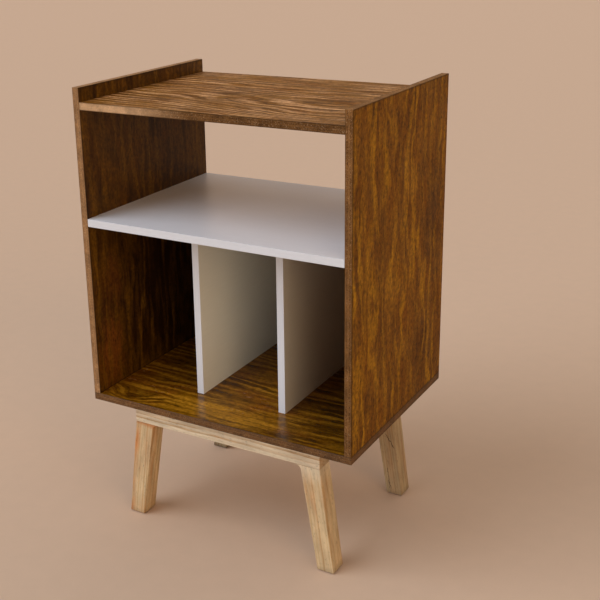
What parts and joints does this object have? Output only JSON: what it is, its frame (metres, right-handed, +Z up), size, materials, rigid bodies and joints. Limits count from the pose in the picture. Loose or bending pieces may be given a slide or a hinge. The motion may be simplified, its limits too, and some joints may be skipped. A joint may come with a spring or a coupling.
{
  "type": "turntable stand",
  "caption": "Turntable stand: a stained plywood carcass with a tray top, an open equipment bay and record bays behind white dividers, on splayed pine legs.",
  "frame": {"origin": "on the floor, under the middle of the stand", "axes": "+Z up, the open front towards -Y, +X to the right seen from the front"},
  "size_m": [0.58, 0.42, 0.9],
  "materials": {
    "stained_plywood": "stained and varnished, satin",
    "white_melamine": "white melamine, satin",
    "white_edge_band": "satin",
    "pine": "clear matt",
    "felt": "pressed felt",
    "beech": "raw, fluted",
    "zinc_plated_steel": "zinc plated"
  },
  "bodies": {
    "root": {"left_side_panel": "stained_plywood", "right_side_panel": "stained_plywood", "top_panel": "stained_plywood", "bottom_panel": "stained_plywood", "back_panel": "stained_plywood", "shelf": "white_melamine", "shelf_edge_band": "white_edge_band", "left_divider": "white_melamine", "left_divider_edge_band": "white_edge_band", "right_divider": "white_melamine", "right_divider_edge_band": "white_edge_band", "front_rail": "pine", "rear_rail": "pine", "front_left_leg": "pine", "front_right_leg": "pine", "rear_left_leg": "pine", "rear_right_leg": "pine", "front_left_pad": "felt", "front_right_pad": "felt", "rear_left_pad": "felt", "rear_right_pad": "felt", "top_panel_dowels": "beech", "shelf_dowels": "beech", "divider_dowels": "beech", "leg_dowels": "beech", "side_panel_screws": "zinc_plated_steel", "divider_screws": "zinc_plated_steel", "rail_screws": "zinc_plated_steel", "back_panel_brads": "zinc_plated_steel"}
  },
  "joints": []
}
